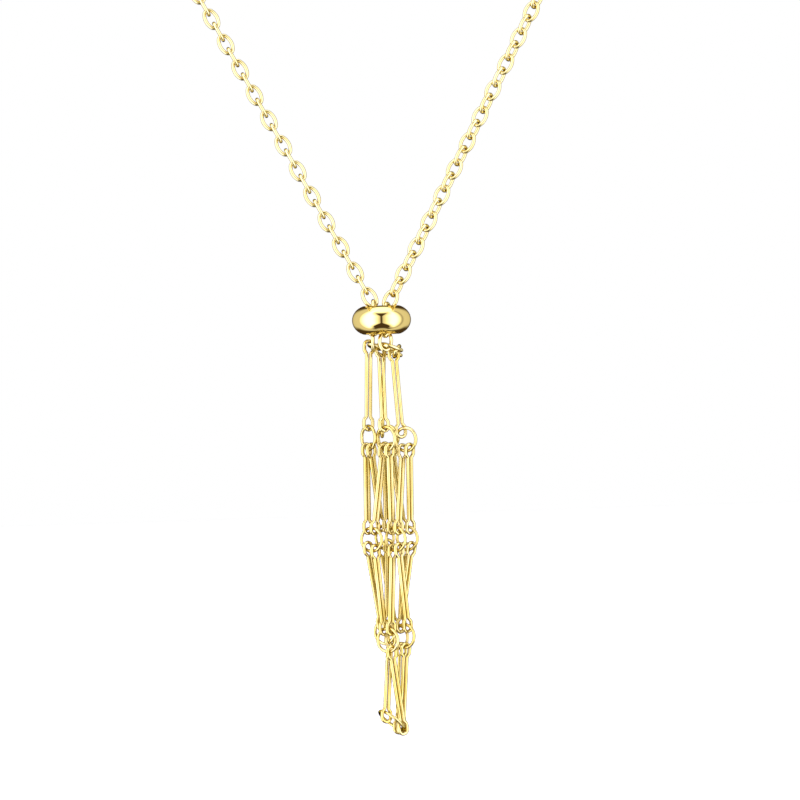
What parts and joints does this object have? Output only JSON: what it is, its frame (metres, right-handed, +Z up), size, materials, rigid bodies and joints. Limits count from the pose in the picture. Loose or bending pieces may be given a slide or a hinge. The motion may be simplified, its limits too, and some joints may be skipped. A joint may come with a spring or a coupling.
{
  "type": "crystal holder necklace",
  "caption": "Gold cable chain necklace whose slider bead draws together an empty hanging net of long links and rings, made to hold a crystal.",
  "frame": {"origin": "middle of the clasp, where the necklace lies on the nape", "axes": "+Z up, -Y towards the front, where the pendant hangs; +X to the viewer's right"},
  "size_m": [0.1002, 0.0865, 0.1518],
  "materials": {
    "chain_gold": "polished yellow gold plating",
    "bead_gold": "mirror-polished yellow gold plating",
    "net_gold": "polished yellow gold plating",
    "ring_gold": "polished yellow gold plating"
  },
  "bodies": {
    "root": {"chain_left": "chain_gold", "chain_right": "chain_gold", "clasp": "chain_gold", "slider_bead": "bead_gold", "top_bar_left": "net_gold", "top_bar_front": "net_gold", "top_bar_right": "net_gold", "top_bar_back": "net_gold", "upper_bar_1": "net_gold", "upper_bar_2": "net_gold", "upper_bar_3": "net_gold", "upper_bar_4": "net_gold", "upper_bar_5": "net_gold", "upper_bar_6": "net_gold", "upper_bar_7": "net_gold", "upper_bar_8": "net_gold", "lower_bar_1": "net_gold", "lower_bar_2": "net_gold", "lower_bar_3": "net_gold", "lower_bar_4": "net_gold", "lower_bar_5": "net_gold", "lower_bar_6": "net_gold", "lower_bar_7": "net_gold", "lower_bar_8": "net_gold", "tip_bar_left": "net_gold", "tip_bar_front": "net_gold", "tip_bar_right": "net_gold", "tip_bar_back": "net_gold", "upper_ring_left": "ring_gold", "upper_ring_front": "ring_gold", "upper_ring_right": "ring_gold", "upper_ring_back": "ring_gold", "middle_ring_left": "ring_gold", "middle_ring_front": "ring_gold", "middle_ring_right": "ring_gold", "middle_ring_back": "ring_gold", "lower_ring_left": "ring_gold", "lower_ring_front": "ring_gold", "lower_ring_right": "ring_gold", "lower_ring_back": "ring_gold", "tip_ring": "ring_gold"}
  },
  "joints": []
}
